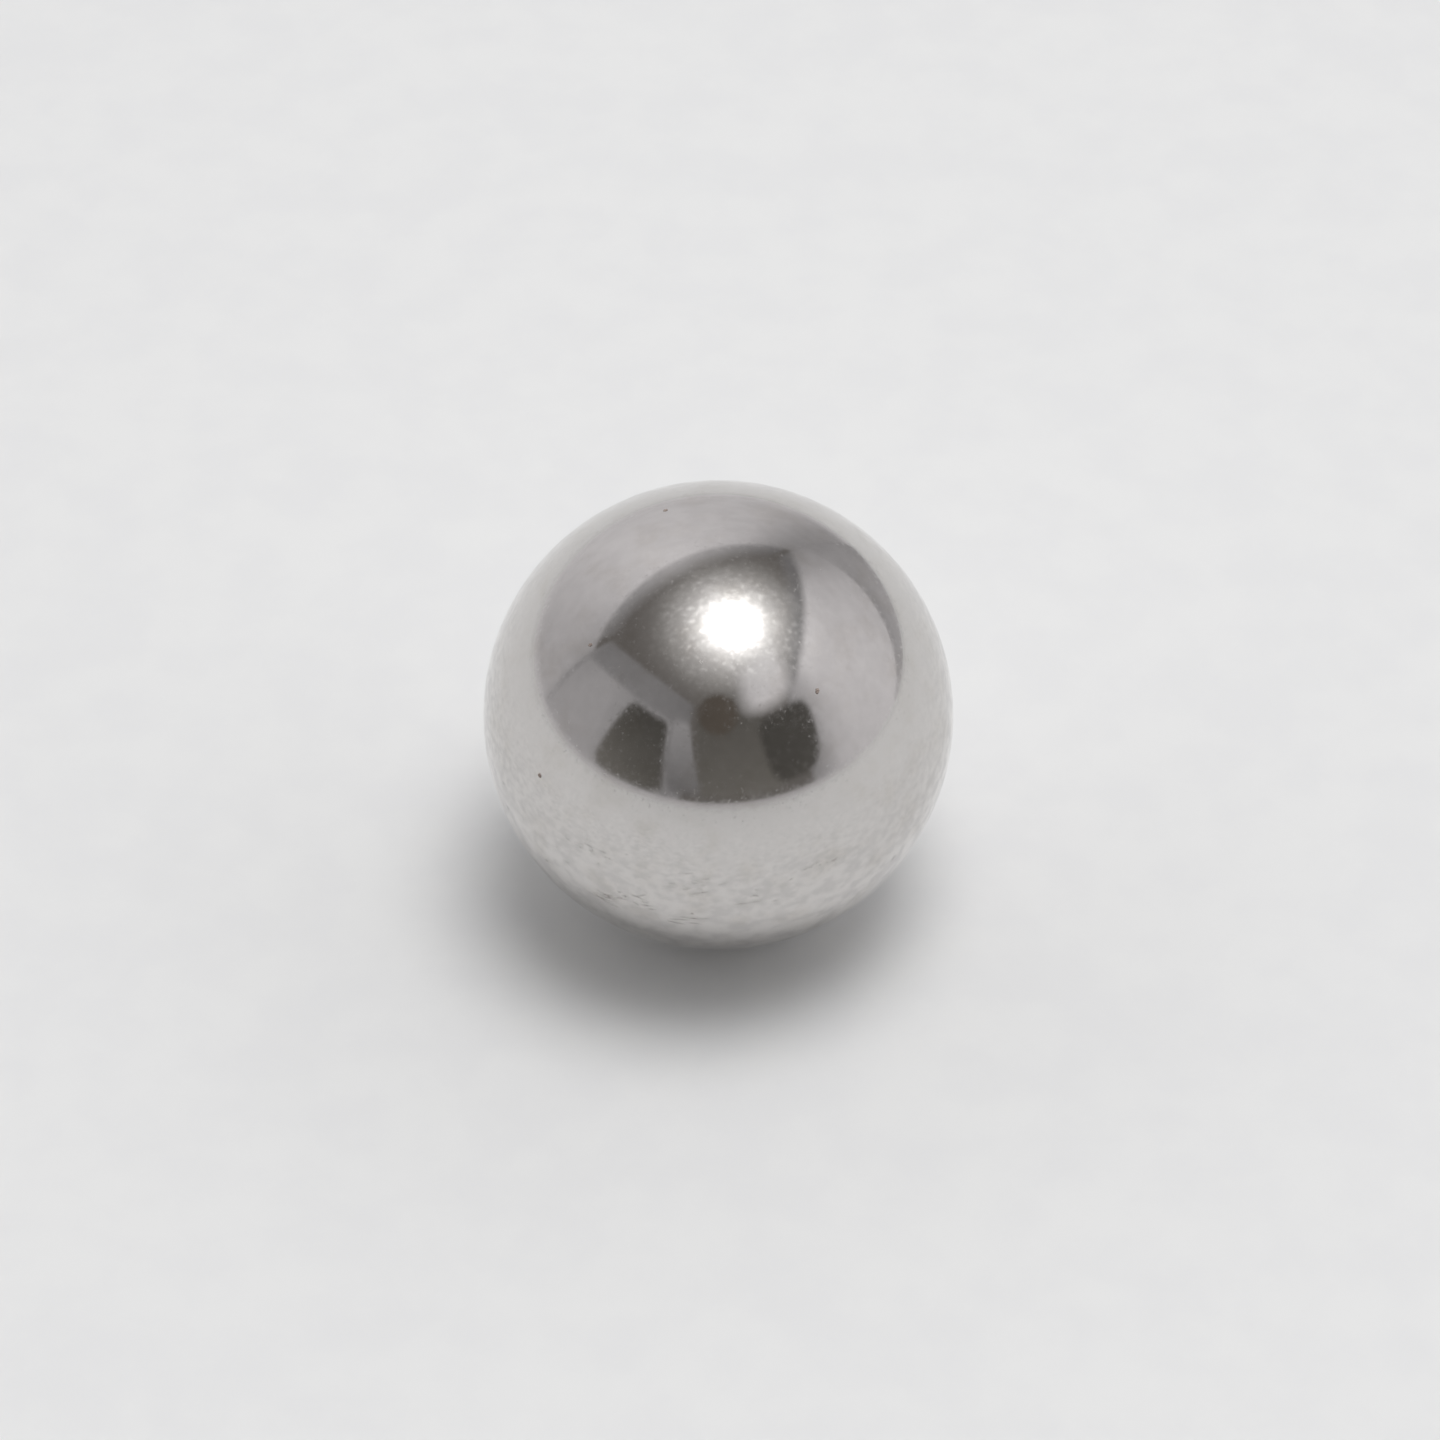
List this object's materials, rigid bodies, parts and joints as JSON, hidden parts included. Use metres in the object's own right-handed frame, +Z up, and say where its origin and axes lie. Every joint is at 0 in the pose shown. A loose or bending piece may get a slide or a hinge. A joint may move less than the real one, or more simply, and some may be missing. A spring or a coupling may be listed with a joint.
{
  "type": "steel ball",
  "caption": "Solid polished steel ball that rolls in a race or sits in a cup, detent or catch.",
  "frame": {"origin": "centre of the ball", "axes": "+Z up; the ball is alike about every axis through its centre"},
  "size_m": [0.0126, 0.0126, 0.0126],
  "materials": {
    "polished_steel": "mirror polished, with sparse fine pits, faint clouds left in the polish and a few dust specks"
  },
  "bodies": {
    "root": {"ball": "polished_steel"}
  },
  "joints": []
}
